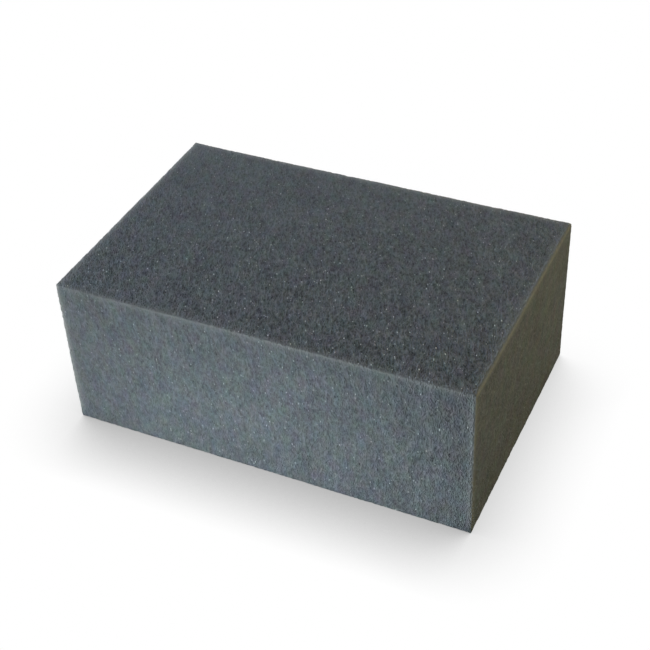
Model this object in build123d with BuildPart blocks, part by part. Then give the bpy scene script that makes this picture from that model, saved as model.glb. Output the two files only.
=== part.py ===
from build123d import *
import os

# Foam cleaning sponge: one rectangular block of open-cell foam, sawn from a
# larger slab and left bare on all six faces.  It lies on one of its two largest
# faces.  The origin is the middle of that face, +X runs along the length, +Y
# across the width and +Z up.  All sizes are in millimetres.

length = 200.0
width = 130.0
height = 80.0
edge_radius = 0.8  # a blade leaves foam with a crisp edge that is barely rounded

with BuildPart() as foam_block:
    with BuildSketch(Plane.XY):
        Rectangle(length, width)
    extrude(amount=height)
    fillet(foam_block.edges(), radius=edge_radius)

foam_block.part.label = "foam_block"

os.makedirs("parts", exist_ok=True)
export_step(foam_block.part, "parts/foam_block.step")
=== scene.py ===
"""Foam cleaning sponge: the sawn block of open-cell foam and the studio that shows it.

Laid out as a Blender add-on and run as a script.  Lengths are in metres.  +X runs
along the block, +Y towards its back and +Z up, and the block lies on the floor at z = 0.
"""

import math

import bmesh
import bpy
from bpy.props import FloatProperty, FloatVectorProperty, PointerProperty
from bpy.types import Operator, Panel, PropertyGroup
from mathutils import Matrix, Vector, noise


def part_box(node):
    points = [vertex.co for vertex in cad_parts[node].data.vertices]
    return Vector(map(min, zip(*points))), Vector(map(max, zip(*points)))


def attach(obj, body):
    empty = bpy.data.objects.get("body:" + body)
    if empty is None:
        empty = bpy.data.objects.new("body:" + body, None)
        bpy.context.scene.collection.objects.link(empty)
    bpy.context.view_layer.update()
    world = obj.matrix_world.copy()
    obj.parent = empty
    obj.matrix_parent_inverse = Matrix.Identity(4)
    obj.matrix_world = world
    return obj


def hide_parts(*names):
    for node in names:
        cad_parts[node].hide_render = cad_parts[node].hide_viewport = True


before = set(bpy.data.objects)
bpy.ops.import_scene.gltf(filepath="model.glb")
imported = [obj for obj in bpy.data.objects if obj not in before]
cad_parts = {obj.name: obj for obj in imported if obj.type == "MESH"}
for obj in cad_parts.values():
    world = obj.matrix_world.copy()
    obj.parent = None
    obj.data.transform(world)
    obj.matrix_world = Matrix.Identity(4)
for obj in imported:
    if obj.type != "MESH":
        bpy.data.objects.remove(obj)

bl_info = {
    "name": "Foam Cleaning Sponge",
    "version": (1, 0, 0),
    "blender": (4, 5, 0),
    "location": "3D View > Sidebar > Sponge",
    "description": "A sawn block of open-cell cleaning foam on a white studio floor",
    "category": "Add Mesh",
}

LOW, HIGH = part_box("foam_block")
CENTRE = (LOW + HIGH) / 2
MM = 0.001
STRAND_SEED = 7
SENSOR_WIDTH = 36.0


# ---------------------------------------------------------------- settings


class SpongeBlockSettings(PropertyGroup):
    """Shape of the foam block."""

    edge_radius: FloatProperty(
        name="Edge radius",
        description="Rounding that the blade leaves on the edges",
        default=0.6 * MM,
        min=0.1 * MM,
        unit="LENGTH",
    )
    grid_step: FloatProperty(
        name="Grid step",
        description="Spacing of the mesh over the faces",
        default=1.08 * MM,
        min=0.5 * MM,
        unit="LENGTH",
    )
    top_sag: FloatProperty(
        name="Top sag",
        description="How far the middle of the top's back edge dips below its corners",
        default=0.45 * MM,
        unit="LENGTH",
    )
    top_twist: FloatProperty(
        name="Top twist",
        description="How much thicker the block is at its front right corner than at its front left one",
        default=0.9 * MM,
        unit="LENGTH",
    )
    saw_waviness: FloatProperty(
        name="Saw waviness",
        description="Slow wander of the blade across the upright faces, and half as much on the top",
        default=0.25 * MM,
        unit="LENGTH",
    )
    saw_wavelength: FloatProperty(
        name="Saw wavelength",
        description="Length of the blade's wander",
        default=45 * MM,
        unit="LENGTH",
    )
    relief_depth: FloatProperty(
        name="Relief depth",
        description="Depth of the open cells in the mesh",
        default=0.22 * MM,
        unit="LENGTH",
    )


class SpongeFoamSettings(PropertyGroup):
    """Colour and cells of the foam."""

    cell_size: FloatProperty(
        name="Cell size",
        description="Length that the cells, the grain and the glints are counted in",
        default=1.95 * MM,
        min=0.3 * MM,
        unit="LENGTH",
    )
    grain_turn: FloatProperty(
        name="Grain turn",
        description="Direction across the foam's grain, turned from the block's length",
        default=math.radians(27.0),
        subtype="ANGLE",
    )
    slimness: FloatProperty(
        name="Slimness",
        description="Square root of how many times longer the cells are along the grain than across",
        default=1.45,
        min=1.0,
    )
    strand_colour: FloatVectorProperty(
        name="Strand colour",
        description="Colour of the foam's strands",
        subtype="COLOR",
        size=3,
        default=(0.190, 0.214, 0.228),
        min=0.0,
        max=1.0,
    )
    # partly painted shade: the dark end of the grain, which the open pores are darkened towards
    pore_shade_colour: FloatVectorProperty(
        name="Pore colour",
        description="Colour inside the open cells",
        subtype="COLOR",
        size=3,
        default=(0.030, 0.034, 0.037),
        min=0.0,
        max=1.0,
    )
    # painted highlight: the colour painted on the few strands that would catch the light
    painted_glint_colour: FloatVectorProperty(
        name="Glint colour",
        description="Colour of the few strands that catch the light",
        subtype="COLOR",
        size=3,
        default=(0.700, 0.740, 0.750),
        min=0.0,
        max=1.0,
    )
    # partly painted light: the calmer grain on the upright faces stands for how the light falls on them
    front_calm: FloatProperty(
        name="Front calm",
        description="How much weaker the grain is on the front, back and left end than on the top",
        default=0.42,
        min=0.0,
        max=1.0,
    )
    right_calm: FloatProperty(
        name="Right calm",
        description="How much weaker the grain is on the right end than on the top",
        default=0.58,
        min=0.0,
        max=1.0,
    )
    dye_unevenness: FloatProperty(
        name="Dye unevenness",
        description="How far the grey strays from place to place, as a share of itself",
        default=0.35,
        min=0.0,
        max=1.0,
    )
    # painted highlight: the pale band along the cut edges stands for loose strands catching the light
    edge_highlight_colour: FloatVectorProperty(
        name="Edge colour",
        description="Colour of the loose strands along the cut edges",
        subtype="COLOR",
        size=3,
        default=(0.360, 0.370, 0.350),
        min=0.0,
        max=1.0,
    )
    edge_highlight_band: FloatProperty(
        name="Edge band",
        description="Distance inwards over which the paler band on the cut edges fades to a third",
        default=1.4 * MM,
        unit="LENGTH",
    )
    bump_depth: FloatProperty(
        name="Bump depth",
        description="Depth of the finest cells, which the mesh is too coarse for",
        default=0.40 * MM,
        unit="LENGTH",
    )


class SpongeStudioSettings(PropertyGroup):
    """Floor, lamps and camera."""

    floor_size: FloatProperty(
        name="Floor size",
        description="Side of the square floor",
        default=6.0,
        unit="LENGTH",
    )
    ambient: FloatProperty(
        name="Ambient",
        description="Strength of the light that comes from all round",
        default=0.03,
        min=0.0,
    )
    azimuth: FloatProperty(
        name="Azimuth",
        description="How far the camera stands round to the right of the block's front",
        default=math.radians(26.65),
        subtype="ANGLE",
    )
    elevation: FloatProperty(
        name="Elevation",
        description="How steeply the camera looks down",
        default=math.radians(38.94),
        subtype="ANGLE",
    )
    roll: FloatProperty(
        name="Roll",
        description="Tilt of the camera about its own line of sight",
        default=math.radians(-2.99),
        subtype="ANGLE",
    )
    distance: FloatProperty(
        name="Distance",
        description="From the camera to the point that it is aimed at",
        default=0.643,
        unit="LENGTH",
    )
    focal_length: FloatProperty(
        name="Focal length",
        description="Lens of the camera in millimetres, on a 36 mm sensor",
        default=74.9,
    )
    aim_right: FloatProperty(
        name="Aim right",
        description="How far to the right of the block's centre the camera is aimed",
        default=1.55 * MM,
        unit="LENGTH",
    )
    aim_down: FloatProperty(
        name="Aim down",
        description="How far below the block's centre the camera is aimed",
        default=1.85 * MM,
        unit="LENGTH",
    )


# ---------------------------------------------------------------- foam block mesh


def long_edges_along(bm, axis, radius):
    """The edges that run the whole way along one axis, between the rounded corners."""
    found = []
    shortest = 10 * radius
    for edge in bm.edges:
        run = edge.verts[1].co - edge.verts[0].co
        straight = abs(run[axis]) > 0.999 * run.length
        if straight and abs(run[axis]) > shortest:
            found.append(edge)
    return found


def rounded_block(radius, step):
    """A closed block the size of the CAD one, with rounded edges and a fine grid on every face."""
    bm = bmesh.new()
    size = HIGH - LOW
    placed = Matrix.Translation(CENTRE) @ Matrix.Diagonal((*size, 1.0))
    bmesh.ops.create_cube(bm, size=1.0, matrix=placed)
    bmesh.ops.bevel(
        bm,
        geom=bm.edges[:],
        offset=radius,
        offset_type="OFFSET",
        affect="EDGES",
        segments=3,
        profile=0.5,
        material=-1,
    )
    for axis in range(3):
        cuts = round(size[axis] / step) - 1
        edges = long_edges_along(bm, axis, radius)
        bmesh.ops.subdivide_edges(bm, edges=edges, cuts=cuts, use_grid_fill=True)
    bm.normal_update()
    return bm


def lay_out_uvs(bm):
    """Six flat islands on the map that the bake uses, one for each face of the block."""
    uv_map = bm.loops.layers.uv.new("OFBake")
    size = HIGH - LOW
    gap = 2 * MM
    side = size.x + size.y + 3 * gap
    base_scale = (side - 2 * size.z - 4 * gap) / size.x
    top_row = 2 * size.z + 3 * gap
    # for each outward direction: the axes that run across and up, the island's corner and its scale
    islands = {
        (1, 1): (0, 2, gap, gap, 1.0),
        (0, 1): (1, 2, size.x + 2 * gap, gap, 1.0),
        (1, -1): (0, 2, gap, size.z + 2 * gap, 1.0),
        (0, -1): (1, 2, size.x + 2 * gap, size.z + 2 * gap, 1.0),
        (2, 1): (0, 1, gap, top_row, 1.0),
        (2, -1): (1, 0, size.x + 2 * gap, top_row, base_scale),
    }
    for face in bm.faces:
        normal = face.normal
        axis = max(range(3), key=lambda i: abs(normal[i]))
        across, up, left, bottom, scale = islands[axis, 1 if normal[axis] > 0 else -1]
        for loop in face.loops:
            place = loop.vert.co - LOW
            loop[uv_map].uv = (
                (left + place[across] * scale) / side,
                (bottom + place[up] * scale) / side,
            )


def saw_wander(place, normal, settings):
    """How far the blade strayed outwards from the flat face at a place."""
    top_share = 0.5
    wander = noise.noise((place + 3 * normal) / settings.saw_wavelength) * settings.saw_waviness
    along = (place.x - CENTRE.x) / (HIGH.x - LOW.x)
    back = (place.y - LOW.y) / (HIGH.y - LOW.y)
    lift = (place.z - LOW.z) / (HIGH.z - LOW.z)
    sag = -settings.top_sag * (1 - 4 * along * along) * back
    twist = settings.top_twist * along * (1 - back)
    on_top = max(normal.z, 0.0)
    grounded = max(-normal.z, 0.0)
    return wander * (1 - on_top * top_share) * (1 - grounded) + (sag + twist) * on_top * lift


def cell_relief(place, cell, depth):
    """Height of the foam's skin at a place: up on a strand and down in the middle of a cell."""
    strand_width = 0.45
    swell_length = 4 * cell
    near, _ = noise.voronoi(place / cell)
    open_part = min(1.0, (near[1] - near[0]) / strand_width)
    swell = noise.noise(place / swell_length)
    return depth * (0.5 - open_part + 0.5 * swell)


def roughen(bm, settings, cell):
    """Moves every point off the flat faces: the saw's wander, the open cells and loose strands."""
    # noise vectors follow a seed, which is the time of day unless it is set
    noise.seed_set(STRAND_SEED)
    places = [(vert, vert.co.copy(), vert.normal.copy()) for vert in bm.verts]
    end_share = 0.4
    loose = 0.22 * settings.grid_step
    drift_length = 0.9 * cell
    for vert, place, normal in places:
        on_end = abs(normal.x) > 0.9
        depth = settings.relief_depth * (end_share if on_end else 1.0)
        out = saw_wander(place, normal, settings) + cell_relief(place, cell, depth)
        drift = noise.noise_vector(place / drift_length) * loose
        vert.co = place + normal * out + (drift - normal * drift.dot(normal))
        vert.co.z = max(vert.co.z, LOW.z)


def build_block(settings, foam):
    """The whole block, with its shape, its bake map and its open cells."""
    mesh_cell = 0.8 * foam.cell_size
    bm = rounded_block(settings.edge_radius, settings.grid_step)
    lay_out_uvs(bm)
    roughen(bm, settings, mesh_cell)
    mesh = bpy.data.meshes.new("open_cell_block")
    bm.to_mesh(mesh)
    bm.free()
    mesh.shade_smooth()
    block = bpy.data.objects.new("open_cell_block", mesh)
    bpy.context.scene.collection.objects.link(block)
    return block


# ---------------------------------------------------------------- foam material


class Graph:
    """Adds shader nodes to a material, one call for each node."""

    def __init__(self, tree):
        self.tree = tree
        tree.nodes.clear()

    def add(self, kind, inputs=None, **options):
        made = self.tree.nodes.new(kind)
        for name, value in options.items():
            setattr(made, name, value)
        for key, value in (inputs or {}).items():
            if isinstance(value, bpy.types.NodeSocket):
                self.tree.links.new(value, made.inputs[key])
            else:
                made.inputs[key].default_value = value
        return made

    def math(self, operation, first, second=0.0, third=0.0, clamp=False):
        values = {0: first, 1: second, 2: third}
        made = self.add("ShaderNodeMath", values, operation=operation, use_clamp=clamp)
        return made.outputs[0]

    def ramp(self, value, low, high, smooth=True):
        """0 below low and 1 above high."""
        made = self.add(
            "ShaderNodeMapRange",
            {"Value": value, "From Min": low, "From Max": high},
            interpolation_type="SMOOTHSTEP" if smooth else "LINEAR",
        )
        return made.outputs["Result"]

    def mix_colour(self, factor, first, second):
        made = self.add("ShaderNodeMix", {"Factor": factor, 6: first, 7: second}, data_type="RGBA")
        return made.outputs[2]


def depths(graph, place):
    """How deep a place lies under the nearer of the two faces across X, across Y and across Z."""
    half = (HIGH - LOW) / 2
    offset = graph.add("ShaderNodeVectorMath", {0: place, 1: CENTRE}, operation="SUBTRACT").outputs[0]
    inward = graph.add("ShaderNodeVectorMath", {0: offset}, operation="ABSOLUTE").outputs[0]
    depth = graph.add("ShaderNodeVectorMath", {0: half, 1: inward}, operation="SUBTRACT").outputs[0]
    return graph.add("ShaderNodeSeparateXYZ", {0: depth}).outputs


def painted_edge_highlight(graph, place, depth, fray, band):
    """Weight of the painted highlight at a place: a paler band where loose strands would catch the light,
    most on the cut edges and fading inwards over the band.

    It shows most round the left end and along the back of the top, and least on the back's upright edges.
    There is none where the block is pressed to the floor.
    """
    x, y, z = depth
    right, back, lift = graph.add("ShaderNodeSeparateXYZ", {0: place}).outputs
    # each weight is its value at the block's middle, plus its change for each metre from there
    lengthwise = graph.math("MULTIPLY_ADD", back, 3.5, 0.6)
    crosswise = graph.math("MULTIPLY_ADD", right, -1.8, 0.8)
    upright = graph.math("MULTIPLY_ADD", back, -4.5, graph.math("MULTIPLY_ADD", right, -1.5, 0.5))
    pressed_flat = 1 * MM
    free = 8 * MM
    total = None
    for first, second, weight in ((y, z, lengthwise), (x, z, crosswise), (x, y, upright)):
        distance = graph.math("ADD", graph.math("MAXIMUM", first, second), fray)
        distance = graph.math("MAXIMUM", distance, 0.0)
        fade = graph.math("EXPONENT", graph.math("MULTIPLY", distance, -1 / band))
        share = graph.math("MULTIPLY", fade, weight)
        total = share if total is None else graph.math("MAXIMUM", total, share)
    return graph.math("MULTIPLY", total, graph.ramp(lift, pressed_flat, free))


def cell_space(graph, place, foam):
    """Coordinates counted in cells, which are slim across the block's grain and drawn out along it."""
    turned = graph.add(
        "ShaderNodeVectorRotate", {"Vector": place, "Angle": -foam.grain_turn}, rotation_type="Z_AXIS"
    ).outputs[0]
    per_metre = 1 / foam.cell_size
    along = per_metre / foam.slimness
    stretch = (per_metre * foam.slimness, along, along)
    warp_depth = 0.5
    cells = graph.add("ShaderNodeVectorMath", {0: turned, 1: stretch}, operation="MULTIPLY").outputs[0]
    warp = graph.add(
        "ShaderNodeTexNoise", {"Vector": cells, "Scale": 0.8, "Detail": 1.0}
    ).outputs["Color"]
    shift = graph.add(
        "ShaderNodeVectorMath", {0: warp, "Scale": warp_depth}, operation="SCALE"
    ).outputs[0]
    return graph.add("ShaderNodeVectorMath", {0: cells, 1: shift}, operation="ADD").outputs[0]


def beyond(graph, value, limit, sign):
    """1 where a coordinate lies on the face at its limit and 0 further in."""
    inner = sign * limit - 0.9 * MM
    outer = sign * limit - 0.5 * MM
    return graph.ramp(graph.math("MULTIPLY", value, sign), inner, outer)


def grain_strength(graph, place, foam):
    """How strongly the grain shows: about full at the top's front and weaker towards its back.

    It grows a little towards the right, is weaker on the front and weakest on the right end.
    The back and the left end are about as coarse as the front. The calmer grain on the upright faces
    partly paints how light falls: it grazes the top, falls more squarely on the front and only softly on
    the right end.
    """
    per_metre_right = 1.5
    per_metre_back = 3.5
    middle = 0.8
    least = 0.5
    right, back, _ = graph.add("ShaderNodeSeparateXYZ", {0: place}).outputs
    rightwards = graph.math("MULTIPLY", right, per_metre_right)
    drift = graph.math("SUBTRACT", rightwards, graph.math("MULTIPLY", back, per_metre_back))
    strength = graph.math("MAXIMUM", graph.math("ADD", drift, middle), least)
    on_front = beyond(graph, back, LOW.y, -1)
    on_right = beyond(graph, right, HIGH.x, 1)
    on_back = beyond(graph, back, HIGH.y, 1)
    on_left = beyond(graph, right, LOW.x, -1)
    elsewhere = graph.math("MAXIMUM", on_back, on_left)
    front_share = graph.math("MULTIPLY_ADD", on_front, -foam.front_calm, 1.0)
    right_share = graph.math("MULTIPLY_ADD", on_right, -foam.right_calm, 1.0)
    strength = graph.math("MULTIPLY", strength, front_share)
    gap = graph.math("SUBTRACT", 1.0 - foam.front_calm, strength)
    strength = graph.math("MULTIPLY_ADD", elsewhere, gap, strength)
    return graph.math("MULTIPLY", strength, right_share)


def foam_material(foam):
    """Dark grey foam: strands, a finer grain, open pores with painted shade in them, a few painted glints
    and a painted highlight along the frayed cut edges.
    """
    web_share = 0.15
    grain_share = 1.3
    pore_shade_share = 0.4
    cloud_share = 0.4
    painted_glint_falloff = 1.6
    fray_share = 1.5
    grain_height = 1.6
    material = bpy.data.materials.new("open_cell_foam")
    material.use_nodes = True
    graph = Graph(material.node_tree)
    place = graph.add("ShaderNodeTexCoord").outputs["Object"]
    cells = cell_space(graph, place, foam)
    x, y, z = depths(graph, place)
    liveliness = grain_strength(graph, place, foam)

    # strands round the cells, a finer grain, painted shade in the odd open pore and a painted glint on
    # the odd strand
    walls = graph.add(
        "ShaderNodeTexVoronoi", {"Vector": cells, "Scale": 1.3}, feature="DISTANCE_TO_EDGE"
    ).outputs["Distance"]
    web = graph.math("SUBTRACT", 1.0, graph.ramp(walls, 0.02, 0.25))
    grain = graph.add(
        "ShaderNodeTexNoise", {"Vector": cells, "Scale": 1.1, "Detail": 1.5, "Roughness": 0.5}
    ).outputs["Fac"]
    mottle = graph.add(
        "ShaderNodeTexNoise", {"Vector": cells, "Scale": 0.15, "Detail": 3.0, "Roughness": 0.6}
    ).outputs["Fac"]
    spots = graph.add("ShaderNodeTexVoronoi", {"Vector": cells, "Scale": 1.6})
    chance = graph.add("ShaderNodeSeparateColor", {0: spots.outputs["Color"]}).outputs[0]
    blob = graph.math("SUBTRACT", 1.0, graph.ramp(spots.outputs["Distance"], 0.1, 0.4))
    pore_pit_and_shade = graph.math("MULTIPLY", blob, graph.math("SUBTRACT", 1.0, graph.ramp(chance, 0.1, 0.25)))
    painted_spark = graph.math("POWER", graph.ramp(chance, 0.8, 1.0, smooth=False), 2.0)
    painted_glint = graph.math("MULTIPLY", blob, painted_spark)

    # halfway between the pore shade and strand colours, moved up and down by each of these
    tone = graph.math("MULTIPLY", graph.math("SUBTRACT", web, 0.3), web_share)
    ripple = graph.math("MULTIPLY", graph.math("SUBTRACT", grain, 0.5), grain_share)
    tone = graph.math("ADD", tone, ripple)
    # painted shade: the odd open pore is darkened as if shaded inside
    tone = graph.math("SUBTRACT", tone, graph.math("MULTIPLY", pore_pit_and_shade, pore_shade_share))
    tone = graph.math("MULTIPLY", tone, liveliness)
    cloud = graph.math("MULTIPLY", graph.math("SUBTRACT", mottle, 0.5), cloud_share)
    tone = graph.math("ADD", graph.math("ADD", tone, cloud), 0.5, clamp=True)
    colour = graph.mix_colour(tone, (*foam.pore_shade_colour, 1.0), (*foam.strand_colour, 1.0))
    # painted highlight: a few strands are painted near white, as if they caught the light
    painted_shine = graph.math("MULTIPLY", painted_glint, graph.math("POWER", liveliness, painted_glint_falloff))
    colour = graph.mix_colour(painted_shine, colour, (*foam.painted_glint_colour, 1.0))

    # the dye took unevenly, so the grey leans a little to green here and to violet there
    dye = graph.add(
        "ShaderNodeTexNoise", {"Vector": cells, "Scale": 0.35, "Detail": 2.0}
    ).outputs["Color"]
    low = 1 - foam.dye_unevenness / 2
    tint = graph.add(
        "ShaderNodeVectorMath",
        {0: dye, 1: (foam.dye_unevenness,) * 3, 2: (low, low, low)},
        operation="MULTIPLY_ADD",
    ).outputs[0]
    colour = graph.add("ShaderNodeVectorMath", {0: colour, 1: tint}, operation="MULTIPLY").outputs[0]

    # painted highlight: a paler band along the cut edges, where loose strands would catch the light
    fray = graph.math("MULTIPLY", graph.math("SUBTRACT", grain, 0.5), fray_share * foam.edge_highlight_band)
    edge = painted_edge_highlight(graph, place, (x, y, z), fray, foam.edge_highlight_band)
    colour = graph.mix_colour(edge, colour, (*foam.edge_highlight_colour, 1.0))

    height = graph.math("ADD", web, graph.math("MULTIPLY", grain, grain_height))
    height = graph.math("MULTIPLY", graph.math("SUBTRACT", height, pore_pit_and_shade), liveliness)
    bump = graph.add("ShaderNodeBump", {"Height": height, "Distance": foam.bump_depth, "Strength": 1.0})
    roughness = graph.add(
        "ShaderNodeMapRange", {"Value": web, "To Min": 0.95, "To Max": 0.7}
    ).outputs["Result"]
    surface = graph.add(
        "ShaderNodeBsdfPrincipled",
        {
            "Base Color": colour,
            "Roughness": roughness,
            "Normal": bump.outputs["Normal"],
            "Specular IOR Level": 0.1,
        },
    )
    graph.add("ShaderNodeOutputMaterial", {"Surface": surface.outputs["BSDF"]})
    return material


# ---------------------------------------------------------------- studio


def floor_material():
    """White to the eye, with a painted soft shadow where something stands close, and pale to everything
    else.
    """
    shadow_reach = 0.041
    shadow_curve = 1.25
    shadow_depth = 0.78
    shadow_samples = 16
    # the painted shadow darkens a place by what stands on this side of it, so it falls in front of the
    # block
    shading_side = (-0.12, 0.7, 0.7)
    material = bpy.data.materials.new("white_floor")
    material.use_nodes = True
    graph = Graph(material.node_tree)
    lean = graph.add("ShaderNodeCombineXYZ", dict(enumerate(shading_side))).outputs[0]
    openness = graph.add("ShaderNodeAmbientOcclusion", {"Distance": shadow_reach, "Normal": lean})
    openness.samples = shadow_samples
    closeness = graph.math("SUBTRACT", 1.0, openness.outputs["AO"])
    closeness = graph.math("POWER", closeness, shadow_curve)
    painted_shadow = graph.math("MULTIPLY_ADD", closeness, -shadow_depth, 1.0)
    seen = graph.add("ShaderNodeEmission", {"Color": painted_shadow, "Strength": 1.0})
    lit = graph.add("ShaderNodeBsdfDiffuse", {"Color": (0.45, 0.45, 0.45, 1.0)})
    rays = graph.add("ShaderNodeLightPath")
    direct = graph.math("MAXIMUM", rays.outputs["Is Camera Ray"], rays.outputs["Is Glossy Ray"])
    direct = graph.math("MAXIMUM", direct, rays.outputs["Is Transmission Ray"])
    surface = graph.add("ShaderNodeMixShader", {0: direct, 1: lit.outputs[0], 2: seen.outputs[0]})
    graph.add("ShaderNodeOutputMaterial", {"Surface": surface.outputs[0]})
    return material


def studio_world(ambient):
    """White behind the block, and only a little light from all round."""
    world = bpy.data.worlds.new("white_studio")
    world.use_nodes = True
    graph = Graph(world.node_tree)
    rays = graph.add("ShaderNodeLightPath")
    fill = graph.add("ShaderNodeBackground", {"Color": (1.0, 1.0, 1.0, 1.0), "Strength": ambient})
    white = graph.add("ShaderNodeBackground", {"Color": (1.0, 1.0, 1.0, 1.0), "Strength": 1.0})
    surface = graph.add(
        "ShaderNodeMixShader", {0: rays.outputs["Is Camera Ray"], 1: fill.outputs[0], 2: white.outputs[0]}
    )
    graph.add("ShaderNodeOutputWorld", {"Surface": surface.outputs[0]})
    return world


def aimed(azimuth, elevation):
    """A turn that points a lamp or camera at the block from an azimuth and elevation."""
    return Matrix.Rotation(azimuth, 4, "Z") @ Matrix.Rotation(math.pi / 2 - elevation, 4, "X")


def add_lamp(name, azimuth, elevation, distance, width, height, watts, colour):
    """A soft lamp aimed at the block, from an azimuth and elevation in degrees."""
    data = bpy.data.lights.new(name, "AREA")
    data.shape = "RECTANGLE"
    data.size = width
    data.size_y = height
    data.energy = watts
    data.color = colour
    lamp = bpy.data.objects.new(name, data)
    turn = aimed(math.radians(azimuth), math.radians(elevation))
    lamp.matrix_world = Matrix.Translation(CENTRE) @ turn @ Matrix.Translation((0, 0, distance))
    lamp.visible_camera = False
    bpy.context.scene.collection.objects.link(lamp)


# name, azimuth, elevation, distance, width, height, watts and colour
LAMPS = (
    ("left_window", -65.0, 10.0, 1.0, 0.5, 0.5, 9.8, (1.0, 1.0, 1.0)),
    ("back_left_window", 200.0, 10.0, 1.0, 0.5, 0.5, 5.5, (1.0, 0.92, 0.75)),
    ("high_left_softbox", -90.0, 60.0, 1.0, 0.5, 0.5, 4.5, (0.65, 0.78, 1.0)),
    ("low_front_strip", 0.0, -8.0, 0.17, 0.2, 0.03, 0.15, (0.85, 0.95, 1.0)),
    ("warm_side_card", 100.0, 20.0, 0.45, 0.25, 0.25, 0.6, (1.0, 0.82, 0.4)),
)


def add_camera(studio):
    """The camera, aimed a little to the right of the block's centre and below it."""
    data = bpy.data.cameras.new("camera")
    data.sensor_width = SENSOR_WIDTH
    data.lens = studio.focal_length
    camera = bpy.data.objects.new("camera", data)
    turn = aimed(studio.azimuth, studio.elevation)
    aim = CENTRE + turn.to_3x3() @ Vector((studio.aim_right, -studio.aim_down, 0))
    roll = Matrix.Rotation(studio.roll, 4, "Z")
    back_off = Matrix.Translation((0, 0, studio.distance))
    camera.matrix_world = Matrix.Translation(aim) @ turn @ roll @ back_off
    bpy.context.scene.collection.objects.link(camera)
    bpy.context.scene.camera = camera


# ---------------------------------------------------------------- operators


class SPONGE_OT_add_foam_block(Operator):
    """Add the sawn block of open-cell foam"""

    bl_idname = "sponge.add_foam_block"
    bl_label = "Add Foam Block"
    bl_options = {"REGISTER", "UNDO"}

    def execute(self, context):
        block = build_block(context.scene.sponge_block, context.scene.sponge_foam)
        block.data.materials.append(foam_material(context.scene.sponge_foam))
        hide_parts("foam_block")
        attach(block, "root")
        return {"FINISHED"}


class SPONGE_OT_add_studio(Operator):
    """Add the white floor, the lamps and the camera"""

    bl_idname = "sponge.add_studio"
    bl_label = "Add Studio"
    bl_options = {"REGISTER", "UNDO"}

    def execute(self, context):
        studio = context.scene.sponge_studio
        mesh = bpy.data.meshes.new("floor")
        bm = bmesh.new()
        bmesh.ops.create_grid(bm, x_segments=1, y_segments=1, size=studio.floor_size / 2)
        bm.to_mesh(mesh)
        bm.free()
        mesh.materials.append(floor_material())
        floor = bpy.data.objects.new("floor", mesh)
        context.scene.collection.objects.link(floor)
        context.scene.world = studio_world(studio.ambient)
        for lamp in LAMPS:
            add_lamp(*lamp)
        add_camera(studio)
        context.scene.view_settings.view_transform = "Standard"
        return {"FINISHED"}


class SPONGE_PT_sidebar(Panel):
    """Sizes and colours of the sponge, and the buttons that build it"""

    bl_idname = "SPONGE_PT_sidebar"
    bl_label = "Foam Cleaning Sponge"
    bl_space_type = "VIEW_3D"
    bl_region_type = "UI"
    bl_category = "Sponge"

    def draw(self, context):
        groups = (
            ("sponge.add_foam_block", (context.scene.sponge_block, context.scene.sponge_foam)),
            ("sponge.add_studio", (context.scene.sponge_studio,)),
        )
        for operator, settings in groups:
            box = self.layout.box()
            for group in settings:
                for name in group.__annotations__:
                    box.prop(group, name)
            box.operator(operator)


CLASSES = (
    SpongeBlockSettings,
    SpongeFoamSettings,
    SpongeStudioSettings,
    SPONGE_OT_add_foam_block,
    SPONGE_OT_add_studio,
    SPONGE_PT_sidebar,
)


def register():
    for cls in CLASSES:
        bpy.utils.register_class(cls)
    bpy.types.Scene.sponge_block = PointerProperty(type=SpongeBlockSettings)
    bpy.types.Scene.sponge_foam = PointerProperty(type=SpongeFoamSettings)
    bpy.types.Scene.sponge_studio = PointerProperty(type=SpongeStudioSettings)


def unregister():
    del bpy.types.Scene.sponge_studio
    del bpy.types.Scene.sponge_foam
    del bpy.types.Scene.sponge_block
    for cls in reversed(CLASSES):
        bpy.utils.unregister_class(cls)


def main():
    register()
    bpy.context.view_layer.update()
    bpy.ops.sponge.add_foam_block()
    bpy.ops.sponge.add_studio()


if __name__ == "__main__":
    main()
